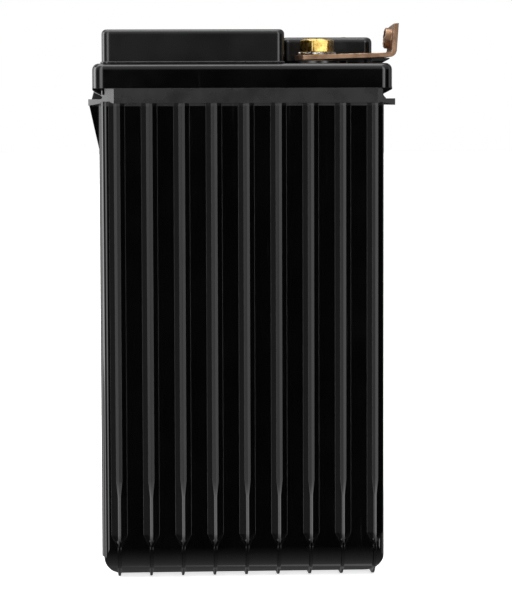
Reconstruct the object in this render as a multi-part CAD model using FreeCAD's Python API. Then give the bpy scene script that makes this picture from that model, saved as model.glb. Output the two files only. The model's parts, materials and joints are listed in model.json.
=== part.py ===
import FreeCAD, Part

import math
import os

from FreeCAD import Vector

# A sealed 12 V lead-acid motorcycle battery, in millimetres.
# The origin is the centre of the face that the battery stands on. +Z is up, the battery is long
# along Y, and both terminals lie towards +X. The positive terminal is at the -Y end.

# ---- case ------------------------------------------------------------
LENGTH = 175.0                 # over the collar, along Y
LEDGE_WIDTH = 87.26            # over the two hold-down ledges, along X
RIM_WIDTH = 79.4               # the case mouth, along X
WALL_X = 40.07                 # outer face of the long walls
WALL_Y = 86.4                  # outer face of the end walls
WALL = 2.9
FLOOR_TOP = 3.6                # inside floor
RIB_HEIGHT = 0.9               # end ribs stand this proud of walls and floor, so the floor is at 0.9
FLOOR_RADIUS = 6.2             # rounding between the floor and the long walls
END_FLOOR_RADIUS = 8.0         # rounding between the floor and the end walls
UPRIGHT_RADIUS = 1.5           # rounding of the four upright corners
COLLAR_FACE = 74.56            # width of the flat end faces of the collar, between its cut corners
END_MIDDLE = 0.86              # the ribs and the collar face of an end wall are centred here in X
LEDGE_BOTTOM = 135.7           # at the walls
LEDGE_EDGE_BOTTOM = 135.05     # at the outer edge of a ledge
LEDGE_TOP = 136.9
RIM_TOP = 139.9
LEDGE_FILLET = 1.8
RIM_NICK = 0.4                 # small chamfer along the top of the case mouth

# ---- ribs ------------------------------------------------------------
RIB_PITCH = 9.13
END_RIBS = 9
SIDE_RIBS = 17
RIB_BASE_HALF = 2.25
RIB_CREST_HALF = 0.85
RIB_RIDGE = 0.07               # the wide crest is slightly roofed
RIB_THIN_HALF = 0.4            # crest of the thin lower stretch
RIB_THIN_RIDGE = 0.06
RIB_THIN_TOP = 24.0
RIB_THIN_BOTTOM = 13.0
FIN_TOP = 9.5                  # below this an end rib is a narrow fin, which goes on under the floor
FIN_BASE_HALF = 0.5
FIN_CREST_HALF = 0.32
GATE_RADIUS = 5.0              # round pad at the middle of the floor, where the plastic is let in
RIB_WIDE_BOTTOM = 28.5
RIB_ROOT = 1.6                 # depth to which a rib is sunk in the wall
SIDE_RIB_HEIGHT = 0.55
SIDE_RIB_BOTTOM = 5.0
GUSSET_PLACES = (-50.0, -17.0, 17.0, 50.0)
GUSSET_THICKNESS = 2.4
GUSSET_BOTTOM = 121.0
GUSSET_BELLY = 129.0           # height at which a gusset is this far from the wall:
GUSSET_BELLY_OUT = 2.1
GUSSET_TOE_OUT = 0.3
GUSSET_ROOT = 0.6
WEB_THICKNESS = 1.3
WEB_PLACES = (-60.0, -40.0, -20.0, 0.0, 20.0, 40.0, 60.0)
WEB_SPREAD = 0.3
WEB_GAP = 0.45                 # below the lip of the lid
SINK = 0.2                     # depth to which added shapes are sunk in the body that bears them

# ---- cells -----------------------------------------------------------
CELLS = 6
PARTITION = 1.8
POSITIVE_PLATE = 2.0
NEGATIVE_PLATE = 1.5
SEPARATOR = 0.7
POSITIVE_PLATES = 5
PLATE_HALF_WIDTH = 35.0
PLATE_BOTTOM = 4.4
PLATE_TOP = 112.0
SEPARATOR_HALF_WIDTH = 35.6
SEPARATOR_TOP = 113.5
LUG_HALF = 4.0
STRAP_BOTTOM = 117.0
STRAP_TOP = 122.0
STRAP_HALF = 5.0
STRAP_GAP = 0.4                # between a strap and a partition it does not pass through
TAB_THICKNESS = 3.0
TAB_TOP = 132.0
WELD_RADIUS = 4.0
WELD_HEIGHT = 127.0

# ---- lid and vent cover ----------------------------------------------
LID_HALF_X = 42.45
LID_HALF_Y = 87.2
LID_TOP = 146.9
LID_SKIN = 2.5
LID_EDGE = 1.8
LID_CORNER = 3.0
SKIRT_OUTER_BOTTOM = 139.5
SKIRT_INNER_BOTTOM = 138.1
SKIRT_END = 84.9
ISLAND_X = (12.25, 38.75)
ISLAND_HALF_Y = 65.5
ISLAND_TOP = 154.6
ISLAND_EDGE = 1.5
ISLAND_CORNER = 2.3
COVER_X = (-39.75, 11.95)
COVER_HALF_Y = 84.7
COVER_TOP = 156.5
COVER_SKIN = 2.0
COVER_EDGE = 1.3
COVER_CORNER = 2.1
COVER_FOOT = 0.35              # a low flange at the foot of the vent cover
COVER_FOOT_HEIGHT = 0.5
SIGN_ARM = 3.2                 # half the length of a polarity sign's stroke
SIGN_HALF = 0.7
SIGN_DEPTH = 0.4
SIGN_Y = 57.0

# ---- valves ----------------------------------------------------------
VALVE_X = -14.0
CHIMNEY_RADIUS = 5.5
CHIMNEY_BORE = 3.5
CHIMNEY_TOP = 151.2
CAP_RADIUS = 6.8
CAP_BOTTOM = 147.5
CAP_TOP = 152.4
CAP_CROWN = 0.9                # bevel round the top of a cap
VENT_RADIUS = 1.0
ARRESTOR_RADIUS = 3.6
ARRESTOR_THICKNESS = 2.5
ARRESTOR_Y = 62.0

# ---- terminals (given for the positive one, at -Y) ---------------------
AXIS_X = 21.75
AXIS_Y = -76.5
POST_RADIUS = 5.5
POST_TOP = 147.4
BUSHING_RADIUS = 7.5
BUSHING_FLANGE = 9.0
SEAT_RADIUS = 8.8              # raised ring of the lid round the bushing
SEAT_TOP = 147.6
SEAL_RADIUS = 8.0
SEAL_HEIGHT = 1.5
INSERT_RADIUS = 4.5
INSERT_BOTTOM = 139.5
INSERT_TOP = 147.8
THREAD_RADIUS = 3.0
THREAD_BOTTOM = 140.3
SHANK_RADIUS = 2.95
SHANK_BOTTOM = 140.5
HEAD_BOTTOM = 150.1
HEAD_HEIGHT = 3.8
HEAD_ACROSS_FLATS = 8.75
HEAD_CHAMFER = 0.55
HEAD_CORNER_CUT = 0.12         # the six corners are turned down by this much
HEAD_TURN = 8.6                # degrees, counter-clockwise from above
WASHER_BOTTOM = 149.48
WASHER_THICKNESS = 0.35
WASHER_BORE = 3.2
WASHER_BODY = 4.3
WASHER_RADIUS = 5.35
WASHER_TEETH = 12
TOOTH_THICKNESS = 0.3
TOOTH_WIDTH = 1.2
TOOTH_TWIST = 16.0

# ---- bent copper bracket -----------------------------------------------
STRIP_UNDERSIDE = 148.0        # at the bolt axis
STRIP_THICKNESS = 1.3
STRIP_WIDTH = 15.0
STRIP_BACK = 5.9               # from the bolt axis to the free end
STRIP_RUN = 20.1               # from the bolt axis to the bend
STRIP_HOLE = 3.3
STRIP_TILT = 1.66              # degrees, rising away from the bolt
STRIP_CORNER = 1.6
UPRIGHT_LEAN = 4.3             # degrees outwards
UPRIGHT_LENGTH = 7.65
UPRIGHT_SLOPE = 2.9            # degrees, the top edge falls across the width
BEND_RADIUS = 0.8
CABLE_HOLE = 2.1               # M5 tapped hole
CABLE_HOLE_UP = 3.35           # from the end of the bend
COLLAR_RADIUS = 2.95
COLLAR_HEIGHT = 1.6
PAD_X = (36.75, 39.7)
PAD_TOP = 148.35
PAD_REACH = 41.85
PAD_HALF_Y = 7.0


def block(x0, x1, y0, y1, z0, z1):
    """A box between two corners."""
    return Part.makeBox(x1 - x0, y1 - y0, z1 - z0, Vector(x0, y0, z0))


def drum(radius, x, y, z0, z1):
    """An upright cylinder."""
    return Part.makeCylinder(radius, z1 - z0, Vector(x, y, z0))


def outline(points):
    """A closed wire of straight lines."""
    return Part.makePolygon(points + [points[0]])


def prism(points, direction):
    """A straight-sided solid drawn along a direction."""
    return Part.Face(outline(points)).extrude(direction)


def drawn(edges, direction):
    """A solid drawn from a closed loop of lines and arcs."""
    wire = Part.Wire([edge.toShape() for edge in edges])
    return Part.Face(wire).extrude(direction)


def flipped(shape, across):
    """The mirror image of a shape across a plane through the origin."""
    return shape.mirror(Vector(0, 0, 0), across)


def at_far_end(shape):
    return flipped(shape, Vector(0, 1, 0))


def on_other_side(shape):
    return flipped(shape, Vector(1, 0, 0))


def joined(shapes):
    """One solid from shapes that overlap or share faces."""
    return shapes[0].multiFuse(shapes[1:]).removeSplitter()


def rounded(shape, radius, wanted):
    """Rounds the straight edges that a test picks out."""
    edges = [edge for edge in shape.Edges if wanted(edge)]
    return shape.makeFillet(radius, edges)


def is_upright(edge):
    box = edge.BoundBox
    return box.ZLength > 1.0 and box.XLength < 1e-6 and box.YLength < 1e-6


def soft_block(x0, x1, y0, y1, z0, z1, corner, edge_radius):
    """A box with rounded upright corners and a rounded top edge."""
    shape = rounded(block(x0, x1, y0, y1, z0, z1), corner, is_upright)
    return rounded(shape, edge_radius, lambda edge: edge.BoundBox.ZMin > z1 - 1e-6)


# ---- case ------------------------------------------------------------

def tub_section(place, half, top, radius):
    """Edges of a tub section: upright sides, rounded lower corners and a flat floor."""
    floor = RIB_HEIGHT
    inset = radius * (1.0 - math.sqrt(0.5))
    left_foot = place(-half, floor + radius)
    right_foot = place(half, floor + radius)
    left_heel = place(radius - half, floor)
    right_heel = place(half - radius, floor)
    return [
        Part.LineSegment(place(-half, top), left_foot),
        Part.Arc(left_foot, place(inset - half, floor + inset), left_heel),
        Part.LineSegment(left_heel, right_heel),
        Part.Arc(right_heel, place(half - inset, floor + inset), right_foot),
        Part.LineSegment(right_foot, place(half, top)),
    ]


def tub(place, half, radius, direction):
    """A solid drawn from the tub section, up to the underside of the ledge."""
    top = LEDGE_BOTTOM + 0.5
    edges = tub_section(place, half, top, radius)
    edges.append(Part.LineSegment(place(half, top), place(-half, top)))
    return drawn(edges, direction)


def case_tub():
    """The outer body of the case below the ledge, rounded to the floor on all four sides."""
    along = tub(lambda u, z: Vector(u, -WALL_Y, z), WALL_X, FLOOR_RADIUS,
                Vector(0, 2 * WALL_Y, 0))
    across = tub(lambda u, z: Vector(-WALL_X, u, z), WALL_Y, END_FLOOR_RADIUS,
                 Vector(2 * WALL_X, 0, 0))
    column = block(-WALL_X, WALL_X, -WALL_Y, WALL_Y, 0, LEDGE_BOTTOM + 0.5)
    return along.common(across).common(rounded(column, UPRIGHT_RADIUS, is_upright))


def collar_bar(fillet, start, length):
    """A length of the ledges and the case mouth, with a fillet where they meet."""
    half = LEDGE_WIDTH / 2
    rim = RIM_WIDTH / 2
    inset = fillet * (1.0 - math.sqrt(0.5))
    nick = RIM_NICK
    edges = []
    for side in (1, -1):
        heel = Vector(side * WALL_X, start, LEDGE_BOTTOM)
        bottom = Vector(side * half, start, LEDGE_EDGE_BOTTOM)
        lip = Vector(side * half, start, LEDGE_TOP)
        fillet_out = Vector(side * (rim + fillet), start, LEDGE_TOP)
        fillet_mid = Vector(side * (rim + inset), start, LEDGE_TOP + inset)
        fillet_up = Vector(side * rim, start, LEDGE_TOP + fillet)
        nick_low = Vector(side * rim, start, RIM_TOP - nick)
        nick_high = Vector(side * (rim - nick), start, RIM_TOP)
        edges += [
            Part.LineSegment(Vector(0, start, LEDGE_BOTTOM), heel),
            Part.LineSegment(heel, bottom),
            Part.LineSegment(bottom, lip),
            Part.LineSegment(lip, fillet_out),
            Part.Arc(fillet_out, fillet_mid, fillet_up),
            Part.LineSegment(fillet_up, nick_low),
            Part.LineSegment(nick_low, nick_high),
            Part.LineSegment(nick_high, Vector(0, start, RIM_TOP)),
        ]
    wire = Part.Wire(Part.__sortEdges__([edge.toShape() for edge in edges]))
    return Part.Face(wire).extrude(Vector(0, length, 0))


def collar():
    """The ledges and the case mouth, cut at the corners in plan; the end bars have large fillets."""
    half_x = LEDGE_WIDTH / 2
    half_y = LENGTH / 2
    face_x0 = END_MIDDLE - COLLAR_FACE / 2
    face_x1 = END_MIDDLE + COLLAR_FACE / 2
    cut_x0 = half_x + face_x0
    cut_x1 = half_x - face_x1
    end = half_y - SKIRT_END - 0.1
    bar = joined([
        collar_bar(LEDGE_FILLET / 4, -half_y, LENGTH),
        collar_bar(LEDGE_FILLET, -half_y, end),
        collar_bar(LEDGE_FILLET, half_y - end, end),
    ])
    plan = [
        Vector(face_x1, -half_y, 0), Vector(half_x, cut_x1 - half_y, 0),
        Vector(half_x, half_y - cut_x1, 0), Vector(face_x1, half_y, 0),
        Vector(face_x0, half_y, 0), Vector(-half_x, half_y - cut_x0, 0),
        Vector(-half_x, cut_x0 - half_y, 0), Vector(face_x0, -half_y, 0),
    ]
    return bar.common(prism(plan, Vector(0, 0, RIM_TOP + 1)))


def rib_outline(place, base_half, crest_half, ridge, height):
    """Cross-section of a rib; place(across, out) puts a point in space."""
    return outline([
        place(-base_half, -RIB_ROOT),
        place(-base_half, 0),
        place(-crest_half, height - ridge),
        place(0, height),
        place(crest_half, height - ridge),
        place(base_half, 0),
        place(base_half, -RIB_ROOT),
    ])


def end_rib(x):
    """A rib that runs down one end wall, under the floor as a fin, and up the other end wall."""
    def section(z, base_half, crest_half, ridge):
        return rib_outline(lambda across, out: Vector(x + across, -WALL_Y - out, z),
                           base_half, crest_half, ridge, RIB_HEIGHT)

    def thin_section(z):
        return section(z, RIB_BASE_HALF, RIB_THIN_HALF, RIB_THIN_RIDGE)

    fin = section(FIN_TOP, FIN_BASE_HALF, FIN_CREST_HALF, 0.0)
    wide = section(RIB_WIDE_BOTTOM, RIB_BASE_HALF, RIB_CREST_HALF, RIB_RIDGE)
    path = tub_section(lambda u, z: Vector(x, u, z), WALL_Y, FIN_TOP, END_FLOOR_RADIUS)
    rail = Part.Wire([edge.toShape() for edge in path]).makePipeShell([fin], True, False)
    lower_taper = Part.makeLoft([fin, thin_section(RIB_THIN_BOTTOM)], True, True)
    thin = Part.Face(thin_section(RIB_THIN_BOTTOM)).extrude(
        Vector(0, 0, RIB_THIN_TOP - RIB_THIN_BOTTOM))
    upper_taper = Part.makeLoft([thin_section(RIB_THIN_TOP), wide], True, True)
    upper = Part.Face(wide).extrude(Vector(0, 0, LEDGE_BOTTOM + SINK - RIB_WIDE_BOTTOM))
    shapes = [lower_taper, thin, upper_taper, upper]
    return [rail] + shapes + [at_far_end(shape) for shape in shapes]


def side_rib(y):
    """A rib on the +X wall."""
    wire = rib_outline(lambda across, out: Vector(WALL_X + out, y + across, SIDE_RIB_BOTTOM),
                       RIB_BASE_HALF, RIB_CREST_HALF, RIB_RIDGE, SIDE_RIB_HEIGHT)
    return Part.Face(wire).extrude(Vector(0, 0, LEDGE_BOTTOM + SINK - SIDE_RIB_BOTTOM))


def gusset(y):
    """A bracket with a hollow front that carries the +X ledge."""
    start = y - GUSSET_THICKNESS / 2
    tip = Vector(LEDGE_WIDTH / 2 - 0.15, start, LEDGE_EDGE_BOTTOM)
    belly = Vector(WALL_X + GUSSET_BELLY_OUT, start, GUSSET_BELLY)
    toe = Vector(WALL_X + GUSSET_TOE_OUT, start, GUSSET_BOTTOM)
    root_low = Vector(WALL_X - GUSSET_ROOT, start, GUSSET_BOTTOM)
    root_high = Vector(WALL_X - GUSSET_ROOT, start, LEDGE_BOTTOM + SINK)
    tip_high = Vector(tip.x, start, LEDGE_BOTTOM + SINK)
    edges = [
        Part.LineSegment(root_high, tip_high),
        Part.LineSegment(tip_high, tip),
        Part.Arc(tip, belly, toe),
        Part.LineSegment(toe, root_low),
        Part.LineSegment(root_low, root_high),
    ]
    return drawn(edges, Vector(0, GUSSET_THICKNESS, 0))


def web(y):
    """A low wedge on the +X ledge, under the slanted lip of the lid."""
    start = y - WEB_THICKNESS / 2
    rim = RIM_WIDTH / 2
    points = [
        Vector(rim - SINK, start, LEDGE_TOP - SINK),
        Vector(LID_HALF_X + WEB_SPREAD, start, LEDGE_TOP - SINK),
        Vector(LID_HALF_X - WEB_SPREAD, start, SKIRT_OUTER_BOTTOM - WEB_GAP),
        Vector(rim - SINK, start, SKIRT_INNER_BOTTOM - WEB_GAP),
    ]
    return prism(points, Vector(0, WEB_THICKNESS, 0))


def cell_span(cell):
    """The near and far inside faces of a cell, counted from the -Y end."""
    inside = WALL_Y - WALL
    width = (2 * inside - (CELLS - 1) * PARTITION) / CELLS
    near = -inside + cell * (width + PARTITION)
    return near, near + width


def cell_space(cell, z0, z1):
    near, far = cell_span(cell)
    half = WALL_X - WALL
    return block(-half, half, near, far, z0, z1)


def positive_side(cell):
    """The side of a cell, +1 or -1 along X, where its positive plates are joined."""
    return 1 if cell % 2 == 0 else -1


def weld_drum(cell, radius, reach):
    """The space of the weld between a cell and the next, through their partition."""
    far = cell_span(cell)[1]
    start = Vector(-positive_side(cell) * AXIS_X, far - reach, WELD_HEIGHT)
    return Part.makeCylinder(radius, PARTITION + 2 * reach, start, Vector(0, 1, 0))


def case():
    shapes = [case_tub(), collar(), drum(GATE_RADIUS, 0, 0, 0, RIB_HEIGHT + SINK)]
    for number in range(END_RIBS):
        shapes += end_rib(END_MIDDLE + (number - END_RIBS // 2) * RIB_PITCH)
    one_side = [side_rib((number - SIDE_RIBS // 2) * RIB_PITCH) for number in range(SIDE_RIBS)]
    one_side += [gusset(y) for y in GUSSET_PLACES]
    one_side += [web(y) for y in WEB_PLACES]
    shapes += one_side
    shapes += [on_other_side(shape) for shape in one_side]
    shell = joined(shapes)
    for cell in range(CELLS):
        shell = shell.cut(cell_space(cell, FLOOR_TOP, RIM_TOP + 1))
    for cell in range(CELLS - 1):
        shell = shell.cut(weld_drum(cell, WELD_RADIUS, 0.5))
    return shell.removeSplitter()


# ---- cells -----------------------------------------------------------

def plate(x_side, y0, thickness):
    """A plate with the lug that reaches its strap."""
    body = block(-PLATE_HALF_WIDTH, PLATE_HALF_WIDTH, y0, y0 + thickness, PLATE_BOTTOM, PLATE_TOP)
    lug_x = x_side * AXIS_X
    lug = block(lug_x - LUG_HALF, lug_x + LUG_HALF, y0, y0 + thickness, PLATE_TOP, STRAP_BOTTOM)
    return body.fuse(lug).removeSplitter()


def stack(cell):
    """Where each plate and separator of a cell begins, near to far."""
    near, far = cell_span(cell)
    pair = NEGATIVE_PLATE + POSITIVE_PLATE + 2 * SEPARATOR
    depth = POSITIVE_PLATES * pair + NEGATIVE_PLATE
    start = (near + far - depth) / 2
    negatives = [start + number * pair for number in range(POSITIVE_PLATES + 1)]
    positives = [y + NEGATIVE_PLATE + SEPARATOR for y in negatives[:-1]]
    separators = []
    for y in positives:
        separators += [y - SEPARATOR, y + POSITIVE_PLATE]
    return negatives, positives, separators


def positive_plates(cell):
    side = positive_side(cell)
    return [plate(side, y, POSITIVE_PLATE) for y in stack(cell)[1]]


def negative_plates(cell):
    side = -positive_side(cell)
    return [plate(side, y, NEGATIVE_PLATE) for y in stack(cell)[0]]


def separators(cell):
    half = SEPARATOR_HALF_WIDTH
    return [block(-half, half, y, y + SEPARATOR, FLOOR_TOP, SEPARATOR_TOP) for y in stack(cell)[2]]


def strap(cell, x_side, tab_at_far_end):
    """The lead bar that joins like plates; its tab meets the weld in a partition."""
    near, far = cell_span(cell)
    x = x_side * AXIS_X
    gap = STRAP_GAP
    y0 = near if tab_at_far_end is False else near + gap
    y1 = far if tab_at_far_end is True else far - gap
    bar = block(x - STRAP_HALF, x + STRAP_HALF, y0, y1, STRAP_BOTTOM, STRAP_TOP)
    if tab_at_far_end is None:
        return bar
    tab_y = y1 - TAB_THICKNESS if tab_at_far_end else y0
    tab = block(x - STRAP_HALF, x + STRAP_HALF, tab_y, tab_y + TAB_THICKNESS, STRAP_TOP, TAB_TOP)
    return bar.fuse(tab).removeSplitter()


def straps(cell):
    """The positive strap joins the cell before and the negative strap joins the cell after."""
    side = positive_side(cell)
    positive = strap(cell, side, None if cell == 0 else False)
    negative = strap(cell, -side, None if cell == CELLS - 1 else True)
    return [positive, negative]


def intercell_welds():
    return [weld_drum(cell, WELD_RADIUS - 0.05, 0.0) for cell in range(CELLS - 1)]


# ---- lid, vent cover and valves ----------------------------------------

def skirt():
    """The slanted lip that covers the case mouth along the +X side."""
    inner = RIM_WIDTH / 2 + 0.1
    points = [
        Vector(inner, -SKIRT_END, SKIRT_INNER_BOTTOM),
        Vector(inner, -SKIRT_END, RIM_TOP + 0.3),
        Vector(LID_HALF_X, -SKIRT_END, RIM_TOP + 0.3),
        Vector(LID_HALF_X, -SKIRT_END, SKIRT_OUTER_BOTTOM),
    ]
    return prism(points, Vector(0, 2 * SKIRT_END, 0))


def bracket_pad():
    """The rest under the outer end of the bracket; it leans out over the edge of the lid."""
    start = AXIS_Y - PAD_HALF_Y
    low = LID_TOP - 0.3
    points = [
        Vector(PAD_X[0], start, low),
        Vector(PAD_X[1], start, low),
        Vector(PAD_X[1], start, LID_TOP),
        Vector(PAD_REACH, start, PAD_TOP - 0.3),
        Vector(PAD_REACH, start, PAD_TOP),
        Vector(PAD_X[0], start, PAD_TOP),
    ]
    return prism(points, Vector(0, 2 * PAD_HALF_Y, 0))


def sign_stroke(y, half_x, half_y):
    """The space of one stroke of a polarity sign, sunk in the top of the island."""
    middle = sum(ISLAND_X) / 2
    low = ISLAND_TOP - SIGN_DEPTH
    return block(middle - half_x, middle + half_x, y - half_y, y + half_y, low, ISLAND_TOP + 1)


def lid():
    plate_top = soft_block(-LID_HALF_X, LID_HALF_X, -LID_HALF_Y, LID_HALF_Y,
                           RIM_TOP, LID_TOP, LID_CORNER, LID_EDGE)
    island = soft_block(ISLAND_X[0], ISLAND_X[1], -ISLAND_HALF_Y, ISLAND_HALF_Y,
                        LID_TOP - 1, ISLAND_TOP, ISLAND_CORNER, ISLAND_EDGE)
    shapes = [plate_top, island, skirt(), on_other_side(skirt())]
    shapes += [bracket_pad(), at_far_end(bracket_pad())]
    raised_ring = drum(SEAT_RADIUS, AXIS_X, AXIS_Y, LID_TOP - 1, SEAT_TOP)
    shapes += [raised_ring, at_far_end(raised_ring)]
    for cell in range(CELLS):
        y = sum(cell_span(cell)) / 2
        shapes.append(drum(CHIMNEY_RADIUS, VALVE_X, y, LID_TOP - 1, CHIMNEY_TOP))
    shape = joined(shapes)
    ceiling = LID_TOP - LID_SKIN
    room = block(ISLAND_X[0] + LID_SKIN, ISLAND_X[1] - LID_SKIN,
                 LID_SKIN - ISLAND_HALF_Y, ISLAND_HALF_Y - LID_SKIN,
                 RIM_TOP - 1, ISLAND_TOP - LID_SKIN)
    for cell in range(CELLS):
        y = sum(cell_span(cell)) / 2
        shape = shape.cut(cell_space(cell, RIM_TOP - 1, ceiling))
        shape = shape.cut(room.common(cell_space(cell, RIM_TOP - 1, ISLAND_TOP)))
        shape = shape.cut(drum(CHIMNEY_BORE, VALVE_X, y, ceiling - 1, CHIMNEY_TOP + 1))
    shape = shape.cut(sign_stroke(-SIGN_Y, SIGN_ARM, SIGN_HALF))
    shape = shape.cut(sign_stroke(-SIGN_Y, SIGN_HALF, SIGN_ARM))
    shape = shape.cut(sign_stroke(SIGN_Y, SIGN_HALF, SIGN_ARM))
    hole = drum(BUSHING_RADIUS, AXIS_X, AXIS_Y, ceiling - 1, SEAT_TOP + 1)
    seat = drum(BUSHING_FLANGE, AXIS_X, AXIS_Y, ceiling - 2 * SEAL_HEIGHT, ceiling)
    for space in (hole, seat):
        shape = shape.cut(space).cut(at_far_end(space))
    return shape


def vent_cover():
    x0, x1 = COVER_X
    half = COVER_HALF_Y
    shell = soft_block(x0, x1, -half, half, LID_TOP, COVER_TOP, COVER_CORNER, COVER_EDGE)
    foot = rounded(block(x0 - COVER_FOOT, x1, -half - COVER_FOOT, half + COVER_FOOT,
                         LID_TOP, LID_TOP + COVER_FOOT_HEIGHT), COVER_CORNER, is_foot_corner)
    skin = COVER_SKIN
    room = block(x0 + skin, x1 - skin, skin - half, half - skin, LID_TOP - 1, COVER_TOP - skin)
    cover = joined([shell, foot]).cut(room)
    for y in (-ARRESTOR_Y, ARRESTOR_Y):
        start = Vector(x0 - 1, y, (LID_TOP + COVER_TOP - skin) / 2)
        cover = cover.cut(Part.makeCylinder(VENT_RADIUS, skin + 2, start, Vector(1, 0, 0)))
    return cover


def is_foot_corner(edge):
    """The upright edges of the foot flange that show, on its -X side."""
    box = edge.BoundBox
    return box.XLength < 1e-6 and box.YLength < 1e-6 and box.XMax < 0


def flame_arrestor(y):
    """A porous disc behind each gas outlet of the vent cover."""
    start = Vector(COVER_X[0] + COVER_SKIN, y, (LID_TOP + COVER_TOP - COVER_SKIN) / 2)
    return Part.makeCylinder(ARRESTOR_RADIUS, ARRESTOR_THICKNESS, start, Vector(1, 0, 0))


def valve_cap(cell):
    """A rubber cap that grips its chimney and lifts to let gas out."""
    y = sum(cell_span(cell)) / 2
    points = [
        Vector(VALVE_X, y, CHIMNEY_TOP),
        Vector(VALVE_X + CHIMNEY_RADIUS, y, CHIMNEY_TOP),
        Vector(VALVE_X + CHIMNEY_RADIUS, y, CAP_BOTTOM),
        Vector(VALVE_X + CAP_RADIUS, y, CAP_BOTTOM),
        Vector(VALVE_X + CAP_RADIUS, y, CAP_TOP - CAP_CROWN),
        Vector(VALVE_X + CAP_RADIUS - CAP_CROWN, y, CAP_TOP),
        Vector(VALVE_X, y, CAP_TOP),
    ]
    face = Part.Face(outline(points))
    return face.revolve(Vector(VALVE_X, y, 0), Vector(0, 0, 1), 360)


# ---- terminals ---------------------------------------------------------

def ring(outer, inner, z0, z1):
    """A ring round the bolt axis."""
    outside = drum(outer, AXIS_X, AXIS_Y, z0, z1)
    return outside.cut(drum(inner, AXIS_X, AXIS_Y, z0 - 1, z1 + 1))


def post():
    """The lead post that rises from the strap, with a socket for the threaded insert."""
    body = drum(POST_RADIUS, AXIS_X, AXIS_Y, STRAP_TOP, POST_TOP)
    return body.cut(drum(INSERT_RADIUS, AXIS_X, AXIS_Y, INSERT_BOTTOM, POST_TOP + 1))


def bushing():
    """The lead bush moulded in the lid, with a flange below the skin."""
    ceiling = LID_TOP - LID_SKIN
    neck = ring(BUSHING_RADIUS, POST_RADIUS, ceiling, POST_TOP)
    flange = ring(BUSHING_FLANGE, POST_RADIUS, ceiling - SEAL_HEIGHT, ceiling)
    return neck.fuse(flange).removeSplitter()


def seal():
    top = LID_TOP - LID_SKIN - SEAL_HEIGHT
    return ring(SEAL_RADIUS, POST_RADIUS, top - SEAL_HEIGHT, top)


def insert():
    """The threaded brass insert; its bore is plain here."""
    body = drum(INSERT_RADIUS, AXIS_X, AXIS_Y, INSERT_BOTTOM, INSERT_TOP)
    return body.cut(drum(THREAD_RADIUS, AXIS_X, AXIS_Y, THREAD_BOTTOM, INSERT_TOP + 1))


def bracket():
    """The bent copper strip: a flat leg under the bolt and an upright leg for the cable."""
    thick = STRIP_THICKNESS
    turn = math.radians(90.0 - UPRIGHT_LEAN - STRIP_TILT)
    rise = (math.cos(turn), math.sin(turn))
    outward = (math.sin(turn), -math.cos(turn))
    outer = BEND_RADIUS + thick
    half = STRIP_WIDTH / 2

    def at(x, z):
        return Vector(x, -half, z)

    def on_bend(radius, angle):
        return at(STRIP_RUN + radius * math.sin(angle), outer - radius * math.cos(angle))

    bend_end = on_bend(outer, turn)
    top_outer = at(bend_end.x + UPRIGHT_LENGTH * rise[0], bend_end.z + UPRIGHT_LENGTH * rise[1])
    top_inner = at(top_outer.x - thick * outward[0], top_outer.z - thick * outward[1])
    edges = [
        Part.LineSegment(at(-STRIP_BACK, 0), at(STRIP_RUN, 0)),
        Part.Arc(at(STRIP_RUN, 0), on_bend(outer, turn / 2), bend_end),
        Part.LineSegment(bend_end, top_outer),
        Part.LineSegment(top_outer, top_inner),
        Part.LineSegment(top_inner, on_bend(BEND_RADIUS, turn)),
        Part.Arc(on_bend(BEND_RADIUS, turn), on_bend(BEND_RADIUS, turn / 2), at(STRIP_RUN, thick)),
        Part.LineSegment(at(STRIP_RUN, thick), at(-STRIP_BACK, thick)),
        Part.LineSegment(at(-STRIP_BACK, thick), at(-STRIP_BACK, 0)),
    ]
    strip = drawn(edges, Vector(0, STRIP_WIDTH, 0))
    strip = strip.cut(Part.makeCylinder(STRIP_HOLE, thick + 2, Vector(0, 0, -1)))
    for side in (1, -1):
        corner = [
            Vector(-STRIP_BACK - 1, side * (half + 1), -1),
            Vector(STRIP_CORNER - STRIP_BACK + 1, side * (half + 1), -1),
            Vector(-STRIP_BACK - 1, side * (half - STRIP_CORNER - 1), -1),
        ]
        strip = strip.cut(prism(corner, Vector(0, 0, thick + 2)))
    trim = Part.makeBox(12, 2 * STRIP_WIDTH, 4, Vector(top_outer.x - 6, -half - 1, top_outer.z))
    trim.rotate(Vector(0, -half, top_outer.z), Vector(1, 0, 0), -UPRIGHT_SLOPE)
    strip = strip.cut(trim)
    face = Vector(bend_end.x + CABLE_HOLE_UP * rise[0], 0, bend_end.z + CABLE_HOLE_UP * rise[1])
    inward = Vector(-outward[0], 0, -outward[1])
    middle = face + inward * (thick / 2)
    boss = Part.makeCylinder(COLLAR_RADIUS, COLLAR_HEIGHT + thick / 2, middle, inward)
    bore = Part.makeCylinder(CABLE_HOLE, COLLAR_HEIGHT + thick + 4, face - inward * 2, inward)
    strip = strip.fuse(boss).cut(bore).removeSplitter()
    strip.rotate(Vector(0, 0, 0), Vector(0, 1, 0), -STRIP_TILT)
    strip.translate(Vector(AXIS_X, AXIS_Y, STRIP_UNDERSIDE))
    return strip


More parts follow.
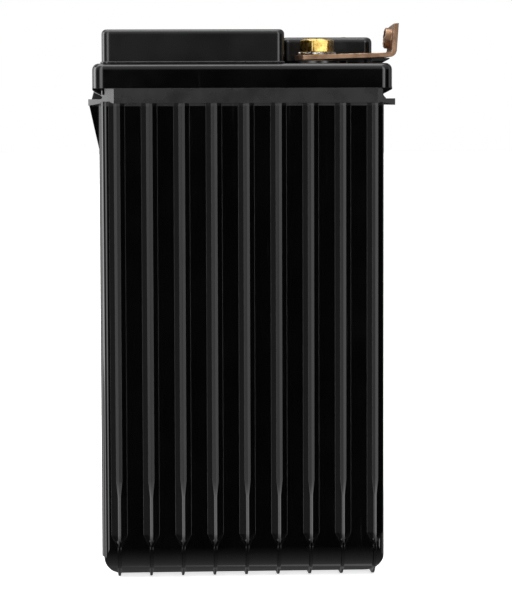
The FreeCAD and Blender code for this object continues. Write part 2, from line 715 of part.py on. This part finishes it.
def star_washer():
    """A lock washer whose outer teeth are twisted out of its plane."""
    height = TOOTH_THICKNESS * math.cos(math.radians(TOOTH_TWIST))
    height += TOOTH_WIDTH * math.sin(math.radians(TOOTH_TWIST))
    middle = WASHER_BOTTOM + height / 2
    body = ring(WASHER_BODY, WASHER_BORE, middle - WASHER_THICKNESS / 2,
                middle + WASHER_THICKNESS / 2)
    shapes = [body]
    for number in range(WASHER_TEETH):
        root = WASHER_BODY - 0.4
        tooth = Part.makeBox(WASHER_RADIUS - root, TOOTH_WIDTH, TOOTH_THICKNESS,
                             Vector(root, -TOOTH_WIDTH / 2, -TOOTH_THICKNESS / 2))
        tooth.rotate(Vector(0, 0, 0), Vector(1, 0, 0), TOOTH_TWIST)
        tooth.rotate(Vector(0, 0, 0), Vector(0, 0, 1), 360.0 * number / WASHER_TEETH)
        tooth.translate(Vector(AXIS_X, AXIS_Y, middle))
        shapes.append(tooth)
    return joined(shapes)


def bolt():
    """A hexagon bolt; the corners of its head are turned down at both ends."""
    top = HEAD_BOTTOM + HEAD_HEIGHT
    corner = HEAD_ACROSS_FLATS / math.sqrt(3.0)
    points = []
    for number in range(6):
        angle = math.radians(HEAD_TURN + 60.0 * number)
        points.append(Vector(AXIS_X + corner * math.cos(angle),
                             AXIS_Y + corner * math.sin(angle), HEAD_BOTTOM))
    head = prism(points, Vector(0, 0, HEAD_HEIGHT))
    reach = corner - HEAD_CORNER_CUT
    inner = reach - 2 * HEAD_CHAMFER
    lower = reach - HEAD_CHAMFER
    turned = [
        Vector(AXIS_X, AXIS_Y, HEAD_BOTTOM),
        Vector(AXIS_X + lower, AXIS_Y, HEAD_BOTTOM),
        Vector(AXIS_X + reach, AXIS_Y, HEAD_BOTTOM + HEAD_CHAMFER / 2),
        Vector(AXIS_X + reach, AXIS_Y, top - HEAD_CHAMFER),
        Vector(AXIS_X + inner, AXIS_Y, top),
        Vector(AXIS_X, AXIS_Y, top),
    ]
    envelope = Part.Face(outline(turned)).revolve(Vector(AXIS_X, AXIS_Y, 0), Vector(0, 0, 1), 360)
    shank = drum(SHANK_RADIUS, AXIS_X, AXIS_Y, SHANK_BOTTOM, HEAD_BOTTOM)
    return head.common(envelope).fuse(shank).removeSplitter()


# ---- output ------------------------------------------------------------

def write(node, shape):
    solids = shape.Solids
    for solid in solids:
        if not solid.isValid():
            raise ValueError(f"{node} holds a solid that is not valid")
    whole = solids[0] if len(solids) == 1 else Part.makeCompound(solids)
    whole.exportStep(f"parts/{node}.step")
    print(f"{node}: {len(solids)} solids, {whole.Volume / 1000:.2f} cm3")


def write_terminal(pole, place):
    """One terminal; place puts the -Y shapes at their own end."""
    for name, make in (("post", post), ("bushing", bushing), ("seal", seal), ("insert", insert),
                       ("bracket", bracket), ("star_washer", star_washer), ("bolt", bolt)):
        write(f"{pole}_{name}", place(make()))


def write_cell(cell):
    groups = (("positive_plates", positive_plates), ("negative_plates", negative_plates),
              ("separators", separators), ("straps", straps))
    for name, make in groups:
        write(f"cell_{cell + 1}_{name}", Part.makeCompound(make(cell)))


def main():
    os.makedirs("parts", exist_ok=True)
    write("case", case())
    write("lid", lid())
    write("vent_cover", vent_cover())
    write("flame_arrestor_front", flame_arrestor(-ARRESTOR_Y))
    write("flame_arrestor_rear", flame_arrestor(ARRESTOR_Y))
    for cell in range(CELLS):
        write(f"valve_cap_{cell + 1}", valve_cap(cell))
        write_cell(cell)
    write("intercell_welds", Part.makeCompound(intercell_welds()))
    write_terminal("positive", lambda shape: shape)
    write_terminal("negative", at_far_end)


main()
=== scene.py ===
import json
import math
import random

import bmesh
import bpy
from mathutils import Matrix, Vector

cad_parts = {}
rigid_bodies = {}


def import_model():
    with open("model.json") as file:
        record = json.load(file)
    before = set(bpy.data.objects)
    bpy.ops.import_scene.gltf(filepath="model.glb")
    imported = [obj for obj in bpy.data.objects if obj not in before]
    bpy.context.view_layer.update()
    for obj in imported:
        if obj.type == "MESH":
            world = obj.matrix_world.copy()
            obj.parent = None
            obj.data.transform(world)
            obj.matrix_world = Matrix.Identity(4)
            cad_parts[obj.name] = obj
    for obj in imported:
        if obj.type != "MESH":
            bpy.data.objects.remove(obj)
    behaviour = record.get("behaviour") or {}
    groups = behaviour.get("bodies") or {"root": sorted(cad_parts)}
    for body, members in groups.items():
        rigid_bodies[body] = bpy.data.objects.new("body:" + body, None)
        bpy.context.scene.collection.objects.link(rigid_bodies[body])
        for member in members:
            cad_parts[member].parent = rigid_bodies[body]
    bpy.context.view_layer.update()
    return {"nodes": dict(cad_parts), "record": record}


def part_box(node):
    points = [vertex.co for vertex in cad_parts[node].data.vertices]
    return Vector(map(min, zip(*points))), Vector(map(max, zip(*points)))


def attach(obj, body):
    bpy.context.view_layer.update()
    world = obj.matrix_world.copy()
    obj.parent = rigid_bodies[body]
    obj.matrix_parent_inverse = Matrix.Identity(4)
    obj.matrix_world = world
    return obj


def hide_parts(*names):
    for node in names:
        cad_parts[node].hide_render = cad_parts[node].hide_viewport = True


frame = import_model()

NODES = frame["nodes"]
MM = 0.001


# ---- shader graphs -------------------------------------------------------

class Graph:
    """Adds shader nodes to a node tree."""

    def __init__(self, tree):
        self.tree = tree
        self.place = None

    def feed(self, socket, value):
        """Link a socket to the input, or set the input's own value."""
        if isinstance(value, bpy.types.NodeSocket):
            self.tree.links.new(value, socket)
        elif isinstance(value, tuple) and len(value) == 3 and socket.type == "RGBA":
            socket.default_value = (*value, 1.0)
        else:
            socket.default_value = value

    def node(self, kind, inputs=None, **settings):
        """A new node of a kind, with its settings made and its inputs fed."""
        made = self.tree.nodes.new("ShaderNode" + kind)
        for name, value in settings.items():
            setattr(made, name, value)
        for key, value in (inputs or {}).items():
            self.feed(made.inputs[key], value)
        return made

    def math(self, operation, a, b=0.0, clamp=False):
        return self.node("Math", {0: a, 1: b}, operation=operation, use_clamp=clamp).outputs[0]

    def objects(self):
        """The piece's own coordinates, in metres."""
        if self.place is None:
            self.place = self.node("TexCoord").outputs["Object"]
        return self.place

    def noise(self, scale, detail=3.0, stretch=None, sharp=0.5):
        """Noise over the piece; stretch scales its three axes."""
        place = self.objects()
        if stretch:
            place = self.node("Mapping", {"Vector": place, "Scale": stretch}).outputs[0]
        return self.node("TexNoise", {"Vector": place, "Scale": scale, "Detail": detail,
                                      "Roughness": sharp}).outputs["Fac"]

    def span(self, value, low, high, start=0.0, end=1.0, kind="LINEAR"):
        """value from low to high, turned into start to end."""
        return self.node("MapRange", {"Value": value, "From Min": low, "From Max": high,
                                      "To Min": start, "To Max": end},
                         interpolation_type=kind).outputs[0]

    def smooth(self, value, low, high, start=0.0, end=1.0):
        """As span, with a soft start and end."""
        return self.span(value, low, high, start, end, "SMOOTHSTEP")

    def mix(self, factor, a, b):
        made = self.node("Mix", data_type="RGBA")
        self.feed(made.inputs["Factor"], factor)
        self.feed(made.inputs["A"], a)
        self.feed(made.inputs["B"], b)
        return made.outputs["Result"]

    def coat(self, mask, colour, rough, new_colour, new_rough):
        """The colour and roughness with others laid over them where the mask is 1."""
        return self.mix(mask, colour, new_colour), self.mix(mask, rough, (new_rough,) * 3)

    def bump(self, height, distance, strength=1.0, normal=None):
        inputs = {"Height": height, "Distance": distance, "Strength": strength}
        if normal is not None:
            inputs["Normal"] = normal
        return self.node("Bump", inputs).outputs[0]

    def soft_normal(self, radius):
        """The surface normal with every edge rounded by a radius."""
        return self.node("Bevel", {"Radius": radius}, samples=6).outputs[0]

    def edge_wear(self, rounded, low, high):
        """1 along edges that get rubbed, 0 elsewhere, broken up by noise."""
        flat = self.node("NewGeometry").outputs["Normal"]
        turn = self.node("VectorMath", {0: rounded, 1: flat}, operation="DOT_PRODUCT")
        edge = self.span(turn.outputs["Value"], 1.0 - low, 1.0 - high)
        rubbed = self.span(self.noise(420.0, 4.0), 0.38, 0.62)
        return self.math("MULTIPLY", edge, rubbed, clamp=True)

    def faces_up(self):
        """1 where the surface lies flat and looks up, 0 on a slope or a wall."""
        up = self.node("SeparateXYZ", {0: self.node("NewGeometry").outputs["Normal"]})
        return self.smooth(up.outputs["Z"], 0.75, 0.98)

    def height(self):
        """The height above the piece's own origin, in metres."""
        return self.node("SeparateXYZ", {0: self.objects()}).outputs["Z"]


# Each of these is a colour and a roughness: dust on bare parts and on the black plastic, then
# the plastic where it is scratched and where its edges are rubbed.
PALE_DUST = ((0.32, 0.3, 0.28), 0.8)
GREY_DUST = ((0.2, 0.2, 0.2), 0.75)
SCUFFED = ((0.02, 0.02, 0.021), 0.5)
RUBBED = ((0.035, 0.036, 0.038), 0.38)


def new_material(name):
    """A material, the graph that adds its nodes, and its shader."""
    material = bpy.data.materials.new(name)
    material.use_nodes = True
    graph = Graph(material.node_tree)
    shader = material.node_tree.nodes["Principled BSDF"]
    return material, graph, shader


def finish(graph, shader, colour, rough, normal, sockets=None):
    """Feed the surface to the shader, and set any other sockets."""
    graph.feed(shader.inputs["Base Color"], colour)
    graph.feed(shader.inputs["Roughness"], rough)
    graph.feed(shader.inputs["Normal"], normal)
    for socket, value in (sockets or {}).items():
        graph.feed(shader.inputs[socket], value)


def paint(name, low_colour, high_colour, patch_scale, roughness, grain, wear, edge=0.3,
          dust=0.0, sockets=None):
    """A material with blotches, uneven gloss, fine grain, rubbed edges and dust.

    grain is (noise scale, depth in mm), wear is the (colour, roughness) of a rubbed edge and
    edge is the radius in mm that the rubbing reaches.
    """
    material, g, shader = new_material(name)
    patches = g.span(g.noise(patch_scale, 5.0, sharp=0.6), 0.32, 0.68)
    colour = g.mix(patches, low_colour, high_colour)
    rough = g.span(g.noise(patch_scale * 2.3, 4.0), 0.3, 0.7, *roughness)
    rounded = g.soft_normal(edge * MM)
    colour, rough = g.coat(g.edge_wear(rounded, 0.015, 0.16), colour, rough, *wear)
    if dust:
        lying = g.math("MULTIPLY", g.faces_up(), g.span(g.noise(260.0, 6.0), 0.42, 0.72))
        lying = g.math("MULTIPLY", lying, dust)
        colour, rough = g.coat(lying, colour, rough, *PALE_DUST)
    normal = g.bump(g.noise(grain[0], 4.0), grain[1] * MM, 1.0, rounded)
    finish(g, shader, colour, rough, normal, sockets)
    return material


def moulded(name, colour, roughness, band=None, dust=0.25, edge=0.35):
    """Black moulded plastic; band is (height, roughness, colour) for a coarser finish above."""
    material, g, shader = new_material(name)
    # Faint clouds in the colour and the gloss.
    patches = g.span(g.noise(45.0, 5.0, sharp=0.65), 0.3, 0.7)
    base = g.mix(patches, tuple(c * 0.7 for c in colour), tuple(c * 1.3 for c in colour))
    rough = g.span(g.noise(120.0, 6.0), 0.3, 0.7, *roughness)
    if band:
        band_height, band_rough, band_colour = band
        above = g.smooth(g.height(), band_height - 0.2 * MM, band_height + 0.2 * MM)
        base = g.mix(above, base, band_colour)
        coarse = g.span(g.noise(150.0, 5.0), 0.3, 0.7, band_rough - 0.05, band_rough + 0.05)
        rough = g.mix(above, rough, coarse)
    # Thin upright scratches, in patches.
    scuffs = g.span(g.noise(900.0, 2.0, (1.0, 1.0, 0.03)), 0.66, 0.8)
    patchy = g.span(g.noise(30.0, 2.0), 0.5, 0.75)
    scuffs = g.math("MULTIPLY", g.math("MULTIPLY", scuffs, patchy), 0.25)
    base, rough = g.coat(scuffs, base, rough, *SCUFFED)
    rounded = g.soft_normal(edge * MM)
    mask = g.math("MULTIPLY", g.edge_wear(rounded, 0.02, 0.2), 0.5)
    base, rough = g.coat(mask, base, rough, *RUBBED)
    lying = g.math("MULTIPLY", g.faces_up(), g.span(g.noise(300.0, 6.0), 0.45, 0.75))
    lying = g.math("MULTIPLY", lying, dust)
    base, rough = g.coat(lying, base, rough, *GREY_DUST)
    # The slow waves of a moulded wall, under a fine grain.
    waves = g.bump(g.noise(60.0, 1.0), 0.02 * MM, 0.2, rounded)
    normal = g.bump(g.noise(2600.0, 3.0), 0.0012 * MM, 0.5, waves)
    finish(g, shader, base, rough, normal)
    return material


# The heights where the case's ledge and the lid's raised parts begin to be less polished.
CASE_BAND = 134.9 * MM
LID_BAND = 147.5 * MM

MATERIALS = {
    "case_plastic": moulded("case_black", (0.0007, 0.0007, 0.00075), (0.06, 0.1),
                            band=(CASE_BAND, 0.28, (0.003, 0.003, 0.0032)), edge=0.09),
    "lid_plastic": moulded("lid_gloss_black", (0.0006, 0.0006, 0.0007), (0.08, 0.13),
                           band=(LID_BAND, 0.2, (0.002, 0.002, 0.0022)), dust=0.04, edge=0.25),
    "cover_plastic": moulded("cover_satin_black", (0.002, 0.002, 0.0022), (0.17, 0.21), dust=0.06),
    "porous_disc": paint("porous_disc", (0.5, 0.49, 0.46), (0.7, 0.69, 0.65), 500.0, (0.8, 0.95),
                         grain=(1500.0, 0.15), wear=((0.75, 0.74, 0.7), 0.9)),
    "valve_rubber": paint("valve_rubber", (0.012, 0.012, 0.013), (0.022, 0.022, 0.022), 90.0,
                          (0.55, 0.75), grain=(1200.0, 0.02), wear=((0.05, 0.05, 0.05), 0.7),
                          dust=0.3),
    "positive_paste": paint("positive_paste", (0.1, 0.035, 0.022), (0.17, 0.07, 0.045), 130.0,
                            (0.8, 0.95), grain=(1800.0, 0.08), wear=((0.24, 0.17, 0.14), 0.8)),
    "negative_paste": paint("negative_paste", (0.16, 0.165, 0.17), (0.27, 0.275, 0.28), 130.0,
                            (0.7, 0.9), grain=(1800.0, 0.08), wear=((0.42, 0.42, 0.43), 0.6)),
    "glass_mat": paint("glass_mat", (0.72, 0.72, 0.7), (0.85, 0.85, 0.83), 200.0, (0.85, 1.0),
                       grain=(2500.0, 0.1), wear=((0.95, 0.95, 0.94), 0.95)),
    "lead": paint("lead", (0.2, 0.205, 0.22), (0.36, 0.365, 0.38), 110.0, (0.42, 0.62),
                  grain=(700.0, 0.05), wear=((0.55, 0.56, 0.6), 0.32), edge=0.4,
                  sockets={"Metallic": 0.9}),
    "insert_brass": paint("insert_brass", (0.48, 0.33, 0.12), (0.66, 0.5, 0.2), 160.0,
                          (0.28, 0.45), grain=(900.0, 0.02), wear=((0.85, 0.7, 0.38), 0.22),
                          edge=0.2, sockets={"Metallic": 1.0}),
    "bolt_brass": paint("bolt_brass", (0.3, 0.19, 0.045), (0.72, 0.52, 0.17), 380.0, (0.2, 0.36),
                        grain=(2200.0, 0.05), wear=((0.95, 0.84, 0.55), 0.2), edge=0.18,
                        sockets={"Metallic": 1.0}),
    "bracket_copper": paint("bracket_copper", (0.12, 0.068, 0.04), (0.34, 0.21, 0.135), 210.0,
                            (0.34, 0.5), grain=(1500.0, 0.03), wear=((0.72, 0.52, 0.38), 0.28),
                            edge=0.25, sockets={"Metallic": 1.0}),
    "washer_steel": paint("washer_steel", (0.16, 0.16, 0.16), (0.82, 0.82, 0.81), 520.0,
                          (0.2, 0.36), grain=(2500.0, 0.02), wear=((0.9, 0.9, 0.9), 0.2),
                          edge=0.12, sockets={"Metallic": 1.0}),
}

for part in NODES.values():
    for slot in part.material_slots:
        if slot.material and slot.material.name in MATERIALS:
            slot.material = MATERIALS[slot.material.name]


# ---- detail pieces ----------------------------------------------------------

BRACKET_BURR = paint("bracket_burr", (0.05, 0.03, 0.02), (0.2, 0.12, 0.08), 700.0, (0.4, 0.7),
                     grain=(3000.0, 0.05), wear=((0.5, 0.36, 0.26), 0.3), edge=0.1,
                     sockets={"Metallic": 0.9})


def add_piece(name, points, faces, material, body, sharp=32.0):
    """A mesh piece in metres that moves with a body."""
    mesh = bpy.data.meshes.new(name)
    mesh.from_pydata([tuple(point) for point in points], [], faces)
    mesh.polygons.foreach_set("use_smooth", [True] * len(mesh.polygons))
    mesh.set_sharp_from_angle(angle=math.radians(sharp))
    mesh.materials.append(material)
    mesh.update()
    piece = bpy.data.objects.new(name, mesh)
    bpy.context.scene.collection.objects.link(piece)
    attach(piece, body)
    return piece


def lathe(rows, segments, start):
    """Points and faces of rings stacked into a closed body.

    A row is a function of the angle that gives (radius, height) in millimetres.
    """
    points = []
    for row in rows:
        for number in range(segments):
            angle = start + 2.0 * math.pi * number / segments
            radius, height = row(angle)
            points.append(Vector((radius * math.cos(angle), radius * math.sin(angle), height)))
    faces = [tuple(range(segments))[::-1]]
    for level in range(len(rows) - 1):
        base = level * segments
        for number in range(segments):
            after = (number + 1) % segments
            faces.append((base + number, base + after,
                          base + segments + after, base + segments + number))
    last = (len(rows) - 1) * segments
    faces.append(tuple(range(last, last + segments)))
    return points, faces


# The bolts, in millimetres.
HEAD_HEIGHT = 3.8
HEAD_FLAT = 8.75 / 2               # from the axis to a flat
HEAD_REACH = 4.93                  # from the axis to a corner
HEAD_CHAMFER = 0.55
HEAD_SOFTNESS = 0.04               # rounds the edge between a flat and the chamfer
CHAMFER_STEPS = 7
THREAD_OUTER = 2.95
THREAD_DEPTH = 0.55
THREAD_PITCH = 1.0
THREAD_STEP = THREAD_PITCH / 10.0
THREAD_FLAT = 0.12                 # the crest and the root, each as a part of half the pitch
POINT_LENGTH = 0.6
POINT_TAPER = 0.45
SHANK_RADIUS = 2.9                 # the plain part under the head
SHANK_LENGTH = 0.9
BOLT_SEGMENTS = 96


def threaded_bolt(pole, turn):
    """A cold-headed hexagon bolt with a cut thread; it takes the place of the plain one."""
    low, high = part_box(f"{pole}_bolt")
    axis = (Vector(low) + Vector(high)) / 2
    bottom = low[2] / MM
    top = high[2] / MM
    under = top - HEAD_HEIGHT
    runout = under - SHANK_LENGTH
    start = math.radians(turn)

    def plain(radius, height):
        return lambda angle: (radius, height)

    def thread(height):
        fade = min((height - bottom) / 0.9, (runout - height) / 0.7, 1.0)

        def row(angle):
            place = ((height - bottom) / THREAD_PITCH - angle / (2.0 * math.pi)) % 1.0
            rise = (abs(2.0 * place - 1.0) - THREAD_FLAT) / (1.0 - 2.0 * THREAD_FLAT)
            flank = min(max(rise, 0.0), 1.0)
            outer = THREAD_OUTER - POINT_TAPER * max(0.0, 1.0 - (height - bottom) / POINT_LENGTH)
            return outer - THREAD_DEPTH * flank * max(fade, 0.0), height
        return row

    def hexagon(reach, height):
        def row(angle):
            part = (angle - start + math.pi / 6.0) % (math.pi / 3.0) - math.pi / 6.0
            flat = HEAD_FLAT / math.cos(math.pi / 6.0 - abs(part))
            mean = (flat + reach) / 2.0
            gap = math.hypot((flat - reach) / 2.0, HEAD_SOFTNESS)
            return mean - gap + HEAD_SOFTNESS * 0.4, height
        return row

    rows = [plain(1.2, bottom), plain(2.2, bottom)]
    steps = int((runout - bottom) / THREAD_STEP)
    rows += [thread(bottom + 0.15 + THREAD_STEP * step) for step in range(steps - 1)]
    rows += [plain(SHANK_RADIUS, under - 0.85), plain(SHANK_RADIUS, under)]
    rows += [hexagon(HEAD_REACH - 0.5, under + 0.02), hexagon(HEAD_REACH - 0.2, under + 0.1),
             hexagon(HEAD_REACH, under + 0.3)]
    rows += [hexagon(HEAD_REACH, top - HEAD_CHAMFER)]
    for step in range(1, CHAMFER_STEPS + 1):
        part = step / CHAMFER_STEPS
        rows.append(hexagon(HEAD_REACH - 2.0 * HEAD_CHAMFER * part,
                            top - HEAD_CHAMFER * (1.0 - part)))
    rows += [plain(3.5, top - 0.02), plain(1.6, top - 0.1), plain(0.5, top - 0.12)]
    points, faces = lathe(rows, BOLT_SEGMENTS, start)
    points = [Vector((axis.x, axis.y, 0.0)) + point * MM for point in points]
    piece = add_piece(f"{pole}_bolt_detail", points, faces, MATERIALS["bolt_brass"],
                      f"{pole}_bolt_body")
    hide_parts(f"{pole}_bolt")


BURR_SEGMENTS = 60
# Round the burr's section, in millimetres: the radius, how far it stands out, and how much
# more where it is ragged.
BURR_SECTION = ((2.16, -0.12, 0.0), (2.22, 0.1, 0.2), (2.4, 0.16, 0.34), (2.62, 0.06, 0.2),
                (2.86, -0.12, 0.0))


def collar_burr(pole, seed):
    """The torn edge that the punch left round the cable hole's collar."""
    dice = random.Random(seed)
    mount = next(m for m in frame["record"]["mounts"] if m["name"] == f"{pole}_cable")
    outward = Vector(mount["axis"]).normalized()
    across = Vector((0.0, 1.0, 0.0))
    upward = outward.cross(across).normalized()
    tip = Vector(mount["pos_m"]) - outward * (mount["dims"]["length_mm"] / 2) * MM
    heights = [dice.uniform(0.02, 1.0) ** 2 for _ in range(BURR_SEGMENTS)]
    points = []
    faces = []
    for number in range(BURR_SEGMENTS):
        following = (number + 1) % BURR_SEGMENTS
        angle = 2.0 * math.pi * number / BURR_SEGMENTS
        ragged = (heights[number] + heights[number - 1] + heights[following]) / 3.0
        around = across * math.cos(angle) + upward * math.sin(angle)
        for radius, rise, torn in BURR_SECTION:
            stand = outward * (rise + torn * ragged)
            points.append(tip + (around * (radius + 0.05 * ragged) - stand) * MM)
        levels = len(BURR_SECTION)
        base = levels * number
        after = levels * following
        for level in range(levels):
            above = (level + 1) % levels
            faces.append((base + level, after + level, after + above, base + above))
    add_piece(f"{pole}_collar_burr", points, faces, BRACKET_BURR,
              f"{pole}_bracket_body")


HEAD_TURN = 8.6             # degrees that the heads are turned, one each way
threaded_bolt("positive", HEAD_TURN)
threaded_bolt("negative", -HEAD_TURN)
collar_burr("positive", 11)
collar_burr("negative", 12)


# ---- light, floor and camera ------------------------------------------------

# The studio as the battery reflects it. A bearing is in degrees from straight in front of the
# battery, positive to the right, and a height is in degrees above the horizon.
CORE_BEARING = 3.5                 # the middle of the dark patch that holds the camera
CORE_EDGE = (4.7, 7.6)             # degrees off that middle where the rim of light starts
RIM_BEARINGS = (-6.0, 12.0)        # the rim is brighter on its right than on its left
RIM_LIGHT = (0.8, 1.4)
CARD_EDGE = (9.0, 22.0)            # the cards at both sides of the patch
CARD_LIGHT = 2.8
CARD_END = (24.0, 50.0)            # where the cards fade out
DIM_BEARINGS = (-20.0, 20.0)
DIM_LIGHT = (0.06, 0.01)           # and the share of them that is left beyond
RIGHT_END = (27.0, 39.0)           # the right card ends sooner
RIGHT_LEFTOVER = 0.1
# Upright cards further round: where one starts, where it is full, where it has ended and
# where it begins to. The back one is there twice, left and right.
LEFT_CARD = (-74.0, -84.0, -112.0, -98.0)
LEFT_LIGHT = 3.0
RIGHT_CARD = (76.0, 86.0, 125.0, 105.0)
RIGHT_LIGHT = 0.8
BACK_CARD = (128.0, 145.0, 168.0, 160.0)
BACK_LIGHT = 0.7
CARD_FOOT = (-9.5, -24.0)          # the heights where all but the back card end
GROUND_HEIGHTS = (-14.0, -85.0)
GROUND_LIGHT = 0.45
CEILING_HEIGHTS = ((8.0, 18.0), (30.0, 65.0))
CEILING_LIGHT = 0.6                # added once for each pair of heights
CEILING_DEPTH = (-0.3, 0.3)        # it hangs over the front; little of it is behind
CEILING_LEFTOVER = 0.1


def studio_world():
    """A dark patch in front of the battery, bright cards at both sides of it and a white ground.

    The camera itself sees plain white.
    """
    world = bpy.data.worlds.new("studio")
    bpy.context.scene.world = world
    world.use_nodes = True
    tree = world.node_tree
    tree.nodes.clear()
    g = Graph(tree)

    def times(a, b):
        return g.math("MULTIPLY", a, b)

    def plus(a, b):
        return g.math("ADD", a, b)

    def card(angle, start, full, ended, ending, light):
        return times(times(g.smooth(angle, start, full), g.smooth(angle, ended, ending)), light)

    way = g.node("SeparateXYZ", {0: g.node("TexCoord").outputs["Generated"]}).outputs
    bearing = times(g.math("ARCTAN2", way["X"], times(way["Y"], -1.0)), 180.0 / math.pi)
    height = times(g.math("ARCSINE", way["Z"]), 180.0 / math.pi)
    turned = g.math("ABSOLUTE", bearing)
    off = g.math("ABSOLUTE", g.math("SUBTRACT", bearing, CORE_BEARING))

    rim = times(g.smooth(off, *CORE_EDGE), g.span(bearing, *RIM_BEARINGS, *RIM_LIGHT))
    sides = plus(rim, g.smooth(off, *CARD_EDGE, 0.0, CARD_LIGHT))
    dim = g.span(bearing, *DIM_BEARINGS, *DIM_LIGHT)
    sides = times(sides, g.math("MAXIMUM", dim, g.smooth(off, *CARD_END, 1.0, 0.0)))
    sides = times(sides, g.smooth(bearing, *RIGHT_END, 1.0, RIGHT_LEFTOVER))
    sides = plus(sides, card(bearing, *LEFT_CARD, LEFT_LIGHT))
    sides = plus(sides, card(bearing, *RIGHT_CARD, RIGHT_LIGHT))
    sides = times(sides, g.math("SUBTRACT", 1.0, g.smooth(height, *CARD_FOOT)))
    sides = plus(sides, card(turned, *BACK_CARD, BACK_LIGHT))

    ground = g.span(height, *GROUND_HEIGHTS, 0.0, GROUND_LIGHT)
    ceiling = plus(*(g.smooth(height, *heights, 0.0, CEILING_LIGHT)
                     for heights in CEILING_HEIGHTS))
    ceiling = times(ceiling, g.smooth(way["Y"], *CEILING_DEPTH, 1.0, CEILING_LEFTOVER))
    total = plus(g.math("MAXIMUM", sides, ceiling), ground)

    reflected = g.node("Background", {"Color": total, "Strength": 1.0})
    seen = g.node("Background", {"Color": (1.0, 1.0, 1.0), "Strength": 1.0})
    ray = g.node("LightPath").outputs["Is Camera Ray"]
    both = g.node("MixShader", {0: ray, 1: reflected.outputs[0], 2: seen.outputs[0]})
    out = tree.nodes.new("ShaderNodeOutputWorld")
    tree.links.new(both.outputs[0], out.inputs["Surface"])


def soft_box(name, position, target, width, height, watts):
    """A white rectangular lamp at a position, turned to a target; lengths in metres."""
    light = bpy.data.lights.new(name, "AREA")
    light.shape = "RECTANGLE"
    light.size = width
    light.size_y = height
    light.energy = watts
    lamp = bpy.data.objects.new(name, light)
    bpy.context.scene.collection.objects.link(lamp)
    lamp.location = position
    direction = Vector(target) - Vector(position)
    lamp.rotation_euler = direction.to_track_quat("-Z", "Y").to_euler()
    lamp.visible_camera = False


FLOOR_HALF = 6.0
FLOOR_TONES = ((0.78, 0.78, 0.78), (0.82, 0.82, 0.82))
FLOOR_GLOW = 0.75                  # lifts the paper to white in the picture


def pale_floor():
    """A sheet of pale paper that the part doesn't reflect."""
    mesh = bpy.data.meshes.new("floor")
    shape = bmesh.new()
    bmesh.ops.create_grid(shape, x_segments=2, y_segments=2, size=FLOOR_HALF)
    shape.to_mesh(mesh)
    shape.free()
    floor = bpy.data.objects.new("floor", mesh)
    bpy.context.scene.collection.objects.link(floor)
    material, g, shader = new_material("floor_paper")
    g.feed(shader.inputs["Base Color"], g.mix(g.noise(3.0), *FLOOR_TONES))
    shader.inputs["Roughness"].default_value = 0.9
    shader.inputs["Emission Color"].default_value = (1.0, 1.0, 1.0, 1.0)
    shader.inputs["Emission Strength"].default_value = FLOOR_GLOW
    shader.inputs["Specular IOR Level"].default_value = 0.0
    mesh.materials.append(material)
    floor.visible_glossy = False


CAMERA_PLACE = (-39.78, -836.8, 136.5)      # millimetres
CAMERA_TURN = (3.3, 4.304, -0.182)          # degrees: to the right, down, and rolled
CAMERA_LENS = 159.34
CAMERA_SENSOR = 36.0


def camera():
    """The photograph's viewpoint: from the front, a little left and above."""
    data = bpy.data.cameras.new("camera")
    eye = bpy.data.objects.new("camera", data)
    bpy.context.scene.collection.objects.link(eye)
    yaw, pitch, roll = (math.radians(angle) for angle in CAMERA_TURN)
    ahead = Vector((math.sin(yaw) * math.cos(pitch), math.cos(yaw) * math.cos(pitch),
                    -math.sin(pitch)))
    right = Vector((math.cos(yaw), -math.sin(yaw), 0.0))
    up = right.cross(ahead)
    side = right * math.cos(roll) + up * math.sin(roll)
    top = up * math.cos(roll) - right * math.sin(roll)
    turn = Matrix((side, top, -ahead)).transposed()
    eye.matrix_world = Matrix.Translation(Vector(CAMERA_PLACE) * MM) @ turn.to_4x4()
    data.sensor_width = CAMERA_SENSOR
    data.lens = CAMERA_LENS
    data.clip_start = 0.05
    data.clip_end = 100.0
    bpy.context.scene.camera = eye


studio_world()
pale_floor()
camera()
soft_box("left_box", (-0.9, 0.2, 0.3), (0.0, 0.2, 0.1), 0.6, 0.7, 5.0)
soft_box("top_box", (-0.1, 0.1, 1.0), (0.0, 0.0, 0.1), 0.8, 0.8, 6.0)

bpy.context.scene.view_settings.view_transform = "Standard"
bpy.context.scene.view_settings.look = "None"
